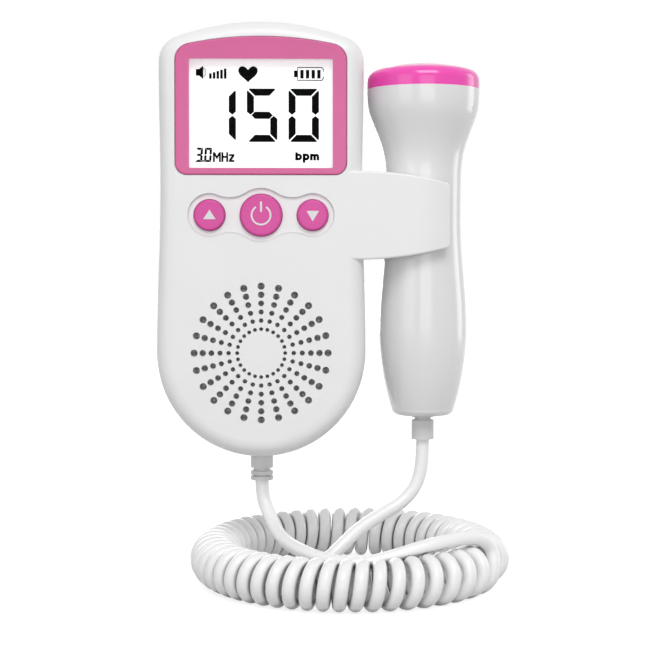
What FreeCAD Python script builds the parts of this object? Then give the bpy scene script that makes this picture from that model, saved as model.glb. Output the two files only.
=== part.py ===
import FreeCAD, Part
import math
import os

# A pocket fetal doppler monitor: an upright handset with a display, three buttons and a speaker, a probe
# held in a clip on the handset's side, and the curly cord between them.
# Millimetres. The origin is the centre of the handset's flat back. +X points to the probe, +Y out of the back
# and +Z up.

Vector = FreeCAD.Vector
TOUCH = 1e-4  # how near a face or an edge must be to count as lying on a plane
BEYOND = 5.0  # how far a cutting tool runs past what it cuts

# ---- Handset housing
front_y = -34.0
back_y = 0.0
split_y = -17.6  # the plane where the two shells meet, through the probe's axis
wall = 2.2
top_z = 65.5
arch_radius = 75.0
corner_radius = 8.0
top_half_width = 31.0
waist_half_width = 30.55
waist_z = 14.0
end_radius = 31.6  # the round lower end, about the speaker
end_z = -34.3
front_rounding = 4.8
back_rounding = 4.0
lip_height = 1.2  # the rear shell's lip enters the front shell
lip_inset = 1.2
parting_depth = 0.3  # the fine groove where the two shells meet
parting_width = 0.5
fit_gap = 0.15

# ---- Display
bezel_half_width = 25.7
bezel_bottom = 19.2
bezel_top = 60.5
bezel_arch_radius = 110.0
bezel_top_corner = 5.0
bezel_bottom_corner = 3.5
bezel_proud = 0.4
bezel_thickness = 1.8
window_half_width = 21.5
window_bottom = 21.2
window_top = 53.8
window_corner = 0.4
window_recess = 1.0
window_seat = 1.2  # how far the pane reaches behind the bezel's opening, all round
window_thickness = 1.2
glass_half_width = 23.4
glass_bottom = 19.9
glass_top = 56.0
glass_corner = 1.0
glass_front = -31.6
glass_thickness = 2.8
backlight_thickness = 4.0
strip_height = 2.4  # the rubber strip that joins the glass to the board

# ---- Buttons
button_z = 7.1
side_button_x = 15.45
side_button_radius = 4.65
power_button_radius = 6.3
button_front = -34.7
button_gap = 0.2
button_edge = 0.7
flange_width = 0.9
flange_thickness = 1.0
stem_radius = 1.75
stem_length = 1.6
recess_side_radius = 6.6
recess_power_radius = 8.2
recess_blend_radius = 9.0
recess_depth = 0.8
recess_groove_width = 0.35  # the fine groove round the recess's foot
recess_groove_depth = 0.35
switch_width = 6.0
switch_height = 3.5
plunger_length = 1.5  # inside the switch's body
plunger_well = 2.4

# ---- Main circuit board
board_half_width = 27.4
board_bottom = -8.0
board_top = 56.2
board_thickness = 1.6
board_corner = 1.0
board_notch_gap = 0.3  # round the screw bosses that the board's corners leave room for
board_post_radius = 1.7
board_post_places = ((-25.6, 40.0), (25.6, 40.0), (-25.6, 12.0), (25.6, 12.0))
board_chips = (  # x, z, width, height, depth
    (8.0, 40.0, 10.0, 10.0, 1.4),
    (8.0, 22.0, 12.0, 7.0, 1.8),
    (-9.0, 8.0, 6.0, 5.0, 1.6),
)
capacitor_places = ((-9.0, 46.0), (-16.5, 46.0))
capacitor_radius = 3.0
capacitor_height = 7.0

# ---- Speaker behind the grille
speaker_z = -34.3
grille_spokes = 24
grille_rings = 6
first_ring_radius = 7.2
ring_pitch = 2.58
hole_radius_at_centre = 0.32
hole_radius_growth = 0.0375  # the holes widen towards the outer ring
cloth_radius = 22.2
cloth_thickness = 0.3
speaker_rim_radius = 22.4
speaker_rim_thickness = 1.5
cone_rim_radius = 20.0
cone_depth = 5.4
cone_wall = 0.6
basket_wall = 1.2
magnet_radius = 11.0
magnet_thickness = 3.6
speaker_rib_radius = 22.6
speaker_rib_wall = 1.4
speaker_rib_height = 3.4

# ---- Batteries and their bay
cell_radius = 7.25
cell_length = 49.2
cell_nub_radius = 2.7
cell_nub_length = 1.3
cell_x = 7.9
cell_y = -9.65
bay_half_width = 16.0
bay_bottom = -59.5
bay_top = -2.5
bay_floor_y = -17.4
bay_wall = 1.5
cover_half_width = 16.6
cover_bottom = -59.0
cover_top = -2.0
cover_corner = 5.0
cover_thickness = 1.8
cover_gap = 0.2
cover_ledge = 0.8  # what the cover rests on, all round the bay's mouth
hook_half_width = 3.0
hook_reach = 2.0
hook_thickness = 1.1
hook_slot_depth = 2.2
latch_half_width = 6.0
latch_length = 9.0
latch_slot = 1.0
latch_ridges = 3
latch_ridge_half_width = 5.0
latch_ridge_height = 0.5
contact_thickness = 0.5
contact_half_width = 5.5
spring_base_radius = 4.2
spring_tip_radius = 2.6

# ---- Screws that close the handset
screw_places = ((-26.4, 52.4), (26.4, 52.4), (-22.0, -48.5), (22.0, -48.5))
boss_radius = 2.9
screw_shank_radius = 1.1
screw_head_radius = 2.1
screw_head_height = 1.5
screw_head_depth = 7.0  # from the back face down to the head
screw_length = 16.0
screw_slot_width = 0.6
counterbore_radius = 2.3

# ---- Earphone socket in the left side
socket_z = 30.0
socket_bore_radius = 1.8
socket_bore_length = 11.0
socket_barrel_radius = 2.9
socket_mouth_x = -30.5
socket_body_x = -28.2
socket_body_end = -17.6
socket_body_height = 6.0

# ---- Probe clip on the right side
probe_x = 50.1
probe_y = split_y
clip_z = button_z
clip_slot_radius = 12.5
clip_arm_thickness = 3.9
clip_root_half_height = 13.2
clip_knee_half_height = 13.0
clip_tip_half_height = 10.0
clip_root_x = 24.0
clip_knee_x = 38.0
clip_tip_x = 57.0
clip_bend_x = 47.5  # where each arm's outside starts to curve round the probe
clip_tip_thickness = 1.9
clip_corner = 1.6
clip_edge = 0.6

# ---- Probe
probe_wall = 1.8
probe_bottom = -54.5
probe_bottom_radius = 7.6
probe_heel_radius = 9.75
probe_heel_z = -52.4
probe_heel_bulge = 0.4  # of the rounding between the bottom and the heel
probe_heel_lean = 0.32  # how far the side leans out at the heel, per unit of height
grip_radius = 13.5
grip_z = -30.0
neck_radius = 11.7
neck_bottom_z = 2.0
neck_top_z = 15.0
flare_radius = 12.75
flare_z = 27.6
shoulder_radius = 16.05
shoulder_z = 37.0
head_radius = 17.4
head_rim_z = 46.4
spigot_height = 2.2
face_wall = 2.0
face_corner = 3.4
face_dome_radius = 56.0
face_top_z = 54.3
face_thickness = 2.2
crystal_thickness = 1.0
crystal_radius = 14.4
crystal_gap = 1.2
backing_thickness = 5.0
probe_board_half_width = 6.5
probe_board_bottom = -46.0
probe_board_top = 40.0
probe_rib_places = (-38.0, 8.0)  # the cross ribs that hold the board's edges
probe_rib_thickness = 1.5

# ---- Strain reliefs
relief_radius = 3.45
unit_relief_length = 8.7
probe_relief_length = 7.6
relief_neck_radius = 2.9
relief_flange_radius = 4.3
relief_flange_thickness = 1.5
relief_flange_gap = 0.4
relief_groove_depth = 0.9
unit_relief_grooves = ((5.4, 1.0), (7.3, 0.5))  # how far below the housing, and how wide
probe_relief_grooves = ((1.2, 1.0),)

# ---- Curly cord and its two plain leads
cord_diameter = 3.9
coil_diameter = 15.2
coil_ring_radius = 41.8
coil_ring_x = 27.3
coil_ring_y = -17.0
coil_ring_z = -99.1
coil_start_angle = -12.0  # counter-clockwise from +X, seen from above
coil_span = 346.0  # the coil runs clockwise from its start
arc_share = 0.45  # of the shorter run beside a bend, which the bend's arc takes up

# The handset's lead: down and forward from the housing, over the inner shoulder of the coil's front turns,
# and down into its first turn at the right.
unit_lead_points = (
    (0.0, -17.6, -74.6),
    (0.0, -17.6, -80.2),
    (1.1, -20.0, -85.7),
    (3.0, -23.4, -89.6),
    (5.4, -27.9, -91.7),
    (9.4, -36.8, -92.3),
    (15.6, -46.6, -92.2),
    (25.2, -52.8, -92.0),
    (36.4, -52.8, -91.5),
    (47.6, -47.8, -91.0),
    (57.0, -40.0, -90.2),
    (63.8, -33.2, -89.6),
    (69.0, -28.8, -91.2),
)
# The probe's lead: down to the left into the ring's hole, round on the surface below, and right to the
# coil's end.
probe_lead_points = (
    (50.1, -17.6, -62.1),
    (50.1, -17.6, -69.2),
    (48.4, -17.9, -76.4),
    (43.8, -19.4, -81.6),
    (36.8, -22.4, -85.0),
    (29.6, -26.2, -88.8),
    (23.6, -30.6, -93.8),
    (17.0, -34.2, -99.2),
    (8.4, -35.0, -103.2),
    (-0.6, -31.6, -104.7),
    (-5.4, -22.6, -104.75),
    (-3.4, -12.0, -104.75),
    (4.6, -4.2, -104.75),
    (15.4, -0.8, -104.75),
    (27.4, -1.4, -104.75),
    (39.2, -4.6, -104.75),
    (50.8, -9.0, -104.75),
    (62.0, -14.4, -104.75),
)


# ---- Helpers


def line(start, end):
    return Part.LineSegment(start, end).toShape()


def arc(start, middle, end):
    return Part.Arc(start, middle, end).toShape()


def on_front(x, z):
    """A point of an outline seen from the front."""
    return Vector(x, 0, z)


def plate(outline, front, back):
    """A plate with the given outline, from one Y to another."""
    solid = Part.Face(outline).extrude(Vector(0, back - front, 0))
    solid.translate(Vector(0, front, 0))
    return solid


def block(low, high):
    size = [high[k] - low[k] for k in range(3)]
    return Part.makeBox(*size, Vector(*low))


def rod_y(x, z, radius, front, back):
    return Part.makeCylinder(radius, back - front, Vector(x, front, z), Vector(0, 1, 0))


def rod_x(y, z, radius, left, right):
    return Part.makeCylinder(radius, right - left, Vector(left, y, z), Vector(1, 0, 0))


def edges_on_y(solid, y):
    boxes = [(edge, edge.BoundBox) for edge in solid.Edges]
    return [edge for edge, box in boxes if abs(box.YMin - y) < TOUCH and abs(box.YMax - y) < TOUCH]


def edges_on_z(solid, z):
    boxes = [(edge, edge.BoundBox) for edge in solid.Edges]
    return [edge for edge, box in boxes if abs(box.ZMin - z) < TOUCH and abs(box.ZMax - z) < TOUCH]


def rounded_rectangle(half_width, bottom, top, bottom_corner, top_corner):
    """An outline seen from the front, with its own corner radius below and above."""
    bend = 1 - math.sqrt(0.5)
    left, right = -half_width, half_width
    low, high = bottom_corner, top_corner
    return Part.Wire(
        [
            line(on_front(left + low, bottom), on_front(right - low, bottom)),
            arc(
                on_front(right - low, bottom),
                on_front(right - bend * low, bottom + bend * low),
                on_front(right, bottom + low),
            ),
            line(on_front(right, bottom + low), on_front(right, top - high)),
            arc(
                on_front(right, top - high),
                on_front(right - bend * high, top - bend * high),
                on_front(right - high, top),
            ),
            line(on_front(right - high, top), on_front(left + high, top)),
            arc(
                on_front(left + high, top),
                on_front(left + bend * high, top - bend * high),
                on_front(left, top - high),
            ),
            line(on_front(left, top - high), on_front(left, bottom + low)),
            arc(
                on_front(left, bottom + low),
                on_front(left + bend * low, bottom + bend * low),
                on_front(left + low, bottom),
            ),
        ]
    )


def arched_top(half_width, top, radius, corner, inset):
    """The arched top of an outline and its two corners, from right to left, all moved in by the inset."""
    centre_z = top - radius
    corner_x = half_width - corner
    corner_z = centre_z + math.sqrt((radius - corner) ** 2 - corner_x**2)
    lean = math.atan2(corner_z - centre_z, corner_x)
    small = corner - inset
    large = radius - inset
    side = on_front(corner_x + small, corner_z)
    bend = on_front(corner_x + small * math.cos(lean / 2), corner_z + small * math.sin(lean / 2))
    shoulder = on_front(large * math.cos(lean), centre_z + large * math.sin(lean))
    crown = on_front(0, centre_z + large)
    right = arc(side, bend, shoulder)
    middle = arc(shoulder, crown, mirrored(shoulder))
    left = arc(mirrored(shoulder), mirrored(bend), mirrored(side))
    return [right, middle, left]


def mirrored(point):
    return Vector(-point.x, point.y, point.z)


def revolve_z(profile, x, y):
    """A solid of revolution about a vertical axis, from edges in the plane through that axis."""
    solid = Part.Face(Part.Wire(profile)).revolve(Vector(0, 0, 0), Vector(0, 0, 1), 360)
    solid.translate(Vector(x, y, 0))
    return solid


def revolve_y(points, z):
    """A solid of revolution about an axis along Y at the given height, from (radius, y) corners."""
    corners = [Vector(radius, y, 0) for radius, y in points]
    outline = Part.makePolygon(corners + corners[:1])
    solid = Part.Face(outline).revolve(Vector(0, 0, 0), Vector(0, 1, 0), 360)
    solid.translate(Vector(0, 0, z))
    return solid


# ---- Handset housing


def housing_outline(inset):
    """The handset seen from the front: a round lower end, slightly waisted sides and a low arch on top."""
    bottom = arc(
        on_front(inset - end_radius, end_z),
        on_front(0, end_z - end_radius + inset),
        on_front(end_radius - inset, end_z),
    )
    top = arched_top(top_half_width, top_z, arch_radius, corner_radius, inset)
    side_top = top[0].Vertexes[0].Point
    side = [on_front(end_radius - inset, end_z), on_front(waist_half_width - inset, waist_z), side_top]
    up = Vector(0, 0, 1)
    right = Part.BSplineCurve()
    right.interpolate(Points=side, InitialTangent=up, FinalTangent=up)
    left = Part.BSplineCurve()
    left.interpolate(Points=[mirrored(point) for point in side], InitialTangent=up, FinalTangent=up)
    return Part.Wire([bottom, right.toShape()] + top + [left.toShape()])


def housing_form(inset, front_edge, back_edge):
    """The handset's whole outside, or its inside when it is moved in by the wall."""
    front = front_y + inset
    back = back_y - inset
    form = plate(housing_outline(inset), front, back)
    form = form.makeFillet(front_edge, edges_on_y(form, front))
    return form.makeFillet(back_edge, edges_on_y(form, back))


def housing_ring(outer_inset, inner_inset, front, back):
    """A wall that follows the housing's outline between two insets."""
    outer = plate(housing_outline(outer_inset), front, back)
    inner = plate(housing_outline(inner_inset), front, back)
    return outer.cut(inner)


def front_half(shape):
    box = shape.BoundBox
    low = (box.XMin - BEYOND, box.YMin - BEYOND, box.ZMin - BEYOND)
    high = (box.XMax + BEYOND, split_y, box.ZMax + BEYOND)
    return shape.common(block(low, high))


def rear_half(shape):
    box = shape.BoundBox
    low = (box.XMin - BEYOND, split_y, box.ZMin - BEYOND)
    high = (box.XMax + BEYOND, box.YMax + BEYOND, box.ZMax + BEYOND)
    return shape.common(block(low, high))


def clip_form():
    """The clip that holds the probe: two arms around a slot that opens to the right."""
    front = probe_y - clip_slot_radius - clip_arm_thickness
    back = probe_y + clip_slot_radius + clip_arm_thickness
    body = plate(arm_outline(), front, back)
    for outer_y, inward in ((front, 1), (back, -1)):
        body = body.cut(arm_bevel(outer_y, inward))
    outside = [edge for edge in body.Edges if is_arm_edge(edge.BoundBox, front, back)]
    return body.makeFillet(clip_edge, outside).cut(rod_slot())


def is_arm_edge(box, front, back):
    """Whether an edge runs along or round the outside of an arm, past its root."""
    on_outside = box.YMax < front + clip_arm_thickness or box.YMin > back - clip_arm_thickness
    across_arm = box.XLength < TOUCH and box.XMax < clip_tip_x - clip_corner
    return on_outside and box.XMax > clip_root_x + TOUCH and not across_arm


def arm_outline():
    """The clip seen from the front: level at its root, then tapering to a tip with rounded corners."""
    root, knee, tip = clip_root_half_height, clip_knee_half_height, clip_tip_half_height
    upper = [
        on_front(clip_root_x, clip_z + root),
        on_front(clip_knee_x, clip_z + knee),
        on_front(clip_tip_x - clip_corner, clip_z + tip),
    ]
    lower = [on_front(point.x, 2 * clip_z - point.z) for point in upper]
    bend = clip_corner * (1 - math.sqrt(0.5))
    tip_top = on_front(clip_tip_x, clip_z + tip - clip_corner)
    tip_bottom = on_front(clip_tip_x, clip_z - tip + clip_corner)
    knee_up = Part.BSplineCurve()
    knee_up.interpolate(Points=upper)
    knee_down = Part.BSplineCurve()
    knee_down.interpolate(Points=lower)
    return Part.Wire(
        [
            knee_up.toShape(),
            arc(upper[2], on_front(clip_tip_x - bend, clip_z + tip - bend), tip_top),
            line(tip_top, tip_bottom),
            arc(tip_bottom, on_front(clip_tip_x - bend, clip_z - tip + bend), lower[2]),
            knee_down.toShape(),
            line(lower[0], upper[0]),
        ]
    )


def arm_bevel(outer_y, inward):
    """What is taken off an arm's outside so that it curves round the probe towards its tip."""
    loss = (clip_arm_thickness - clip_tip_thickness) * inward
    reach = clip_tip_x - clip_bend_x
    start = Vector(clip_bend_x, outer_y, 0)
    end = Vector(clip_tip_x, outer_y + loss, 0)
    middle = Vector(clip_bend_x + reach / 2, outer_y + loss / 4, 0)
    outside = outer_y - BEYOND * inward
    past_tip = Vector(clip_tip_x + BEYOND, end.y, 0)
    far_corner = Vector(clip_tip_x + BEYOND, outside, 0)
    near_corner = Vector(start.x, outside, 0)
    outline = [arc(start, middle, end), line(end, past_tip), line(past_tip, far_corner)]
    outline += [line(far_corner, near_corner), line(near_corner, start)]
    height = 2 * (clip_root_half_height + BEYOND)
    bevel = Part.Face(Part.Wire(outline)).extrude(Vector(0, 0, height))
    bevel.translate(Vector(0, 0, clip_z - height / 2))
    return bevel


def rod_slot():
    """The clip's slot: round behind the probe, then straight out to the right."""
    low = clip_z - clip_root_half_height - BEYOND
    high = clip_z + clip_root_half_height + BEYOND
    seat = Part.makeCylinder(clip_slot_radius, high - low, Vector(probe_x, probe_y, low))
    way_out = block(
        (probe_x, probe_y - clip_slot_radius, low),
        (clip_tip_x + BEYOND, probe_y + clip_slot_radius, high),
    )
    return seat.fuse(way_out)


def bezel_outline(inset):
    """The bezel seen from the front: an arched top and a straight, round-cornered foot."""
    top = arched_top(bezel_half_width, bezel_top, bezel_arch_radius, bezel_top_corner, inset)
    right_top = top[0].Vertexes[0].Point
    half = bezel_half_width - inset
    low = bezel_bottom + inset
    corner = bezel_bottom_corner - inset
    bend = corner * (1 - math.sqrt(0.5))
    right = [on_front(half - corner, low), on_front(half - bend, low + bend), on_front(half, low + corner)]
    left = [mirrored(point) for point in right]
    return Part.Wire(
        [line(left[0], right[0]), arc(*right), line(right[2], right_top)]
        + top
        + [line(mirrored(right_top), left[2]), arc(left[2], left[1], left[0])]
    )


def button_recess_outline(inset):
    """Three round lobes, one about each button, joined by hollow blends."""
    power_lobe = recess_power_radius - inset
    side_lobe = recess_side_radius - inset
    blend = recess_blend_radius + inset
    spread = power_lobe + blend
    reach = side_lobe + blend
    blend_x = (spread**2 - reach**2 + side_button_x**2) / (2 * side_button_x)
    blend_z = math.sqrt(spread**2 - blend_x**2)
    at_power = power_lobe / spread
    at_side = side_lobe / reach
    inner = (blend_x * at_power, blend_z * at_power)
    outer = (side_button_x + (blend_x - side_button_x) * at_side, blend_z * at_side)
    dip = (blend_x, blend_z - blend)
    far = (side_button_x + side_lobe, 0)
    crown = (0, power_lobe)

    def place(point, mirror_x=1, mirror_z=1):
        return on_front(mirror_x * point[0], button_z + mirror_z * point[1])

    return Part.Wire(
        [
            arc(place(inner, -1), place(crown), place(inner)),
            arc(place(inner), place(dip), place(outer)),
            arc(place(outer), place(far), place(outer, 1, -1)),
            arc(place(outer, 1, -1), place(dip, 1, -1), place(inner, 1, -1)),
            arc(place(inner, 1, -1), place(crown, 1, -1), place(inner, -1, -1)),
            arc(place(inner, -1, -1), place(dip, -1, -1), place(outer, -1, -1)),
            arc(place(outer, -1, -1), place(far, -1), place(outer, -1)),
            arc(place(outer, -1), place(dip, -1), place(inner, -1)),
        ]
    )


def button_recess():
    """What is cut for the buttons' shallow recess, with a fine groove round its foot."""
    floor = front_y + recess_depth
    recess = plate(button_recess_outline(0), front_y - BEYOND, floor)
    outer = plate(button_recess_outline(0), floor, floor + recess_groove_depth)
    inner = plate(button_recess_outline(recess_groove_width), floor, floor + recess_groove_depth)
    return recess.fuse(outer.cut(inner))


def grille_holes():
    """Rings of holes over the speaker, in straight spokes, wider from ring to ring."""
    holes = []
    for ring in range(grille_rings):
        ring_radius = first_ring_radius + ring * ring_pitch
        hole_radius = hole_radius_at_centre + hole_radius_growth * ring_radius
        for spoke in range(grille_spokes):
            turn = 2 * math.pi * spoke / grille_spokes
            x = ring_radius * math.sin(turn)
            z = speaker_z + ring_radius * math.cos(turn)
            holes.append(rod_y(x, z, hole_radius, front_y - BEYOND, front_y + wall + TOUCH))
    return Part.makeCompound(holes)


def button_places():
    """Each button's name, place along X and radius."""
    return (
        ("up", -side_button_x, side_button_radius),
        ("power", 0.0, power_button_radius),
        ("down", side_button_x, side_button_radius),
    )


def relief_opening(bottom_z, x):
    """The hole through which a strain relief's neck leaves a housing."""
    return Part.makeCylinder(relief_neck_radius, 4 * wall, Vector(x, split_y, bottom_z - 2 * wall))


def front_shell():
    shell = front_half(housing_form(0, front_rounding, back_rounding).cut(housing_inside()))
    shell = shell.cut(housing_ring(-wall, parting_depth, split_y - parting_width / 2, split_y))
    shell = shell.fuse(front_half(clip_form()).cut(housing_inside()))
    within_wall = housing_form(wall / 2, front_rounding, back_rounding)
    for x, z in screw_places:
        boss = rod_y(x, z, boss_radius, front_y + wall / 2, split_y).common(within_wall)
        pilot = rod_y(x, z, screw_shank_radius, -screw_head_depth - screw_length, split_y + BEYOND)
        shell = shell.fuse(boss).cut(pilot)
    for x, z in board_post_places:
        shell = shell.fuse(rod_y(x, z, board_post_radius, front_y + wall / 2, board_front()))
    rib_front = front_y + wall / 2
    rib_back = front_y + wall + speaker_rib_height
    rib = rod_y(0, speaker_z, speaker_rib_radius + speaker_rib_wall, rib_front, rib_back)
    rib = rib.cut(rod_y(0, speaker_z, speaker_rib_radius, rib_front, rib_back))
    shell = shell.fuse(rib)
    lip_groove = housing_ring(lip_inset - fit_gap, wall + fit_gap, split_y - lip_height - fit_gap, split_y)
    bezel_seat = plate(bezel_outline(-fit_gap), front_y - BEYOND, front_y - bezel_proud + bezel_thickness)
    shell = shell.cut(lip_groove).cut(bezel_seat)
    opening = rounded_rectangle(glass_half_width, glass_bottom, glass_top, glass_corner, glass_corner)
    shell = shell.cut(plate(opening, front_y - BEYOND, front_y + wall + BEYOND))
    shell = shell.cut(button_recess())
    for _, x, radius in button_places():
        shell = shell.cut(rod_y(x, button_z, radius + button_gap, front_y - BEYOND, front_y + wall + BEYOND))
    shell = shell.cut(grille_holes())
    shell = shell.cut(relief_opening(end_z - end_radius, 0))
    return shell.cut(socket_opening())


def housing_inside():
    return housing_form(wall, front_rounding - wall, back_rounding - wall)


def socket_opening():
    outside = -top_half_width - BEYOND
    return rod_x(socket_y(), socket_z, socket_barrel_radius + fit_gap, outside, socket_body_x)


def rear_shell():
    outside = housing_form(0, front_rounding, back_rounding)
    shell = rear_half(outside.cut(housing_inside()))
    shell = shell.cut(housing_ring(-wall, parting_depth, split_y, split_y + parting_width / 2))
    shell = shell.fuse(rear_half(clip_form()).cut(housing_inside()))
    bay_front = bay_floor_y - bay_wall
    bay_low = (-bay_half_width - bay_wall, bay_front, bay_bottom - bay_wall)
    bay_high = (bay_half_width + bay_wall, back_y, bay_top + bay_wall)
    front_wall = housing_ring(-wall, wall + fit_gap, bay_front, split_y)
    shell = shell.fuse(block(bay_low, bay_high).common(outside).cut(front_wall))
    lip = housing_ring(lip_inset, wall, split_y - lip_height, split_y + wall)
    shell = shell.fuse(lip)
    for x, z in screw_places:
        shell = shell.fuse(rod_y(x, z, boss_radius, split_y, back_y).common(outside))
        shell = shell.cut(rod_y(x, z, screw_shank_radius + fit_gap, split_y - BEYOND, back_y + BEYOND))
        shell = shell.cut(rod_y(x, z, counterbore_radius, -screw_head_depth, back_y + BEYOND))
    for x, z in board_post_places:
        shell = shell.fuse(rod_y(x, z, board_post_radius, board_front() + board_thickness, back_y - wall / 2))
    bay = block((-bay_half_width, bay_floor_y, bay_bottom), (bay_half_width, back_y - wall, bay_top))
    shell = shell.cut(bay)
    shell = shell.cut(plate(cover_outline(-cover_ledge), back_y - wall - TOUCH, back_y + BEYOND))
    shell = shell.cut(plate(cover_outline(cover_gap), -cover_thickness, back_y + BEYOND))
    slot_half_width = hook_half_width + cover_gap
    slot_front = -wall - hook_slot_depth
    under_wall = block(
        (-slot_half_width, slot_front, cover_bottom - hook_reach - cover_gap),
        (slot_half_width, -wall, bay_bottom + cover_gap),
    )
    through_ledge = block(
        (-slot_half_width, slot_front, cover_bottom - cover_gap),
        (slot_half_width, -cover_thickness, cover_bottom + hook_reach),
    )
    shell = shell.cut(under_wall).cut(through_ledge)
    shell = shell.cut(relief_opening(end_z - end_radius, 0))
    return shell.cut(socket_opening())


def cover_outline(outset):
    half_width = cover_half_width + outset
    corner = cover_corner + outset
    return rounded_rectangle(half_width, cover_bottom - outset, cover_top + outset, corner, corner)


def battery_cover():
    """The cover in the back, with a hook at its foot, a springy latch tongue and grip ridges at its head."""
    cover = plate(cover_outline(0), -cover_thickness, back_y)
    hook_front = -wall - fit_gap - hook_thickness
    hook = block(
        (-hook_half_width, hook_front, cover_bottom - hook_reach),
        (hook_half_width, -cover_thickness, cover_bottom + hook_reach),
    )
    under_wall = block(
        (-hook_half_width, -wall - fit_gap, cover_bottom - hook_reach),
        (hook_half_width, back_y, cover_bottom),
    )
    cover = cover.fuse(hook.cut(under_wall))
    for side in (-1, 1):
        near = side * latch_half_width
        far = near + side * latch_slot
        cover = cover.cut(
            block(
                (min(near, far), -cover_thickness, cover_top - latch_length),
                (max(near, far), back_y, cover_top),
            )
        )
    for ridge in range(latch_ridges):
        z = cover_top - latch_length * (ridge + 1) / (latch_ridges + 1)
        ridge_bar = block(
            (-latch_ridge_half_width, back_y - latch_ridge_height, z - latch_ridge_height),
            (latch_ridge_half_width, back_y + latch_ridge_height, z + latch_ridge_height),
        )
        cover = cover.fuse(ridge_bar)
    return cover


def rear_screws():
    """Four pan-head screws with slotted heads, down in the rear shell's bosses."""
    screws = []
    for x, z in screw_places:
        head = rod_y(x, z, screw_head_radius, -screw_head_depth, screw_head_height - screw_head_depth)
        slot_y = screw_head_height / 2 - screw_head_depth
        slot = block(
            (x - screw_head_radius, slot_y, z - screw_slot_width / 2),
            (x + screw_head_radius, back_y, z + screw_slot_width / 2),
        )
        shank = rod_y(x, z, screw_shank_radius, -screw_head_depth - screw_length, -screw_head_depth)
        screws.append(head.cut(slot).fuse(shank))
    return Part.makeCompound(screws)


# ---- Display


def display_bezel():
    """The glossy frame round the display, with a seat for the pane behind its opening."""
    front = front_y - bezel_proud
    back = front + bezel_thickness
    bezel = plate(bezel_outline(0), front, back)
    bezel = bezel.makeFillet(bezel_proud, edges_on_y(bezel, front))
    opening = rounded_rectangle(window_half_width, window_bottom, window_top, window_corner, window_corner)
    bezel = bezel.cut(plate(opening, front - BEYOND, back + BEYOND))
    return bezel.cut(plate(pane_outline(fit_gap), front + window_recess, back + BEYOND))


def pane_outline(outset):
    reach = window_seat + outset
    return rounded_rectangle(
        window_half_width + reach, window_bottom - reach, window_top + reach, window_corner, window_corner
    )


def display_window():
    front = front_y - bezel_proud + window_recess
    return plate(pane_outline(0), front, front + window_thickness)


def lcd_panel():
    half_width = glass_half_width - fit_gap
    outline = rounded_rectangle(half_width, glass_bottom, glass_top, glass_corner, glass_corner)
    return plate(outline, glass_front, glass_front + glass_thickness)


def lcd_backlight():
    front = glass_front + glass_thickness
    half_width = glass_half_width - glass_corner
    bottom = glass_bottom + strip_height + fit_gap
    outline = rounded_rectangle(half_width, bottom, glass_top, glass_corner, glass_corner)
    return plate(outline, front, front + backlight_thickness)


def lcd_connector_strip():
    front = glass_front + glass_thickness
    return block(
        (glass_corner - glass_half_width, front, glass_bottom),
        (glass_half_width - glass_corner, front + backlight_thickness, glass_bottom + strip_height),
    )


def board_front():
    return glass_front + glass_thickness + backlight_thickness


def main_circuit_board():
    """The board behind the display, notched round two screw bosses, with chips and capacitors on its rear."""
    front = board_front()
    back = front + board_thickness
    outline = rounded_rectangle(board_half_width, board_bottom, board_top, board_corner, board_corner)
    board = plate(outline, front, back)
    for x, z in screw_places:
        board = board.cut(rod_y(x, z, boss_radius + board_notch_gap, front - BEYOND, back + BEYOND))
    for x, z, width, height, depth in board_chips:
        chip = block((x - width / 2, back, z - height / 2), (x + width / 2, back + depth, z + height / 2))
        board = board.fuse(chip)
    for x, z in capacitor_places:
        board = board.fuse(rod_y(x, z, capacitor_radius, back, back + capacitor_height))
    return board


# ---- Buttons and the switches under them


def button(x, radius):
    """A domed-edge button with a flange behind the wall and a stem that meets its switch."""
    flange_front = front_y + wall
    cap = rod_y(x, button_z, radius, button_front, flange_front + flange_thickness)
    cap = cap.makeFillet(button_edge, edges_on_y(cap, button_front))
    flange = rod_y(x, button_z, radius + flange_width, flange_front, flange_front + flange_thickness)
    stem = rod_y(x, button_z, stem_radius, flange_front, flange_front + flange_thickness + stem_length)
    return cap.fuse(flange).fuse(stem)


def plunger_front():
    return front_y + wall + flange_thickness + stem_length


def switch_front():
    return board_front() - switch_height


def switch_plunger(x):
    return rod_y(x, button_z, stem_radius, plunger_front(), switch_front() + plunger_length)


def switch_base(x):
    half = switch_width / 2
    front = switch_front()
    base = block((x - half, front, button_z - half), (x + half, board_front(), button_z + half))
    return base.cut(rod_y(x, button_z, stem_radius + fit_gap, front, front + plunger_well))


# ---- Speaker


def cloth_front():
    return front_y + wall


def speaker_cloth():
    return rod_y(0, speaker_z, cloth_radius, cloth_front(), cloth_front() + cloth_thickness)


def speaker_frame():
    """The speaker's pressed basket: a flat rim, then a cone down to the magnet."""
    rim = cloth_front() + cloth_thickness
    seat = rim + speaker_rim_thickness
    foot = seat + cone_depth
    return revolve_y(
        (
            (cone_rim_radius, rim),
            (speaker_rim_radius, rim),
            (speaker_rim_radius, seat),
            (cone_rim_radius + basket_wall, seat),
            (magnet_radius, foot + basket_wall),
            (0, foot + basket_wall),
            (0, foot),
            (magnet_radius - basket_wall, foot),
            (cone_rim_radius, seat),
        ),
        speaker_z,
    )


def speaker_cone():
    """The paper cone and its dust cap, inside the basket."""
    seat = cloth_front() + cloth_thickness + speaker_rim_thickness - cone_wall
    bottom = seat + cone_depth - cone_wall
    dust_cap_radius = magnet_radius / 2
    return revolve_y(
        (
            (0, bottom - 2 * cone_wall),
            (dust_cap_radius, bottom - cone_wall),
            (cone_rim_radius, seat),
            (cone_rim_radius, seat + cone_wall),
            (dust_cap_radius, bottom),
            (0, bottom),
        ),
        speaker_z,
    )


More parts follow.
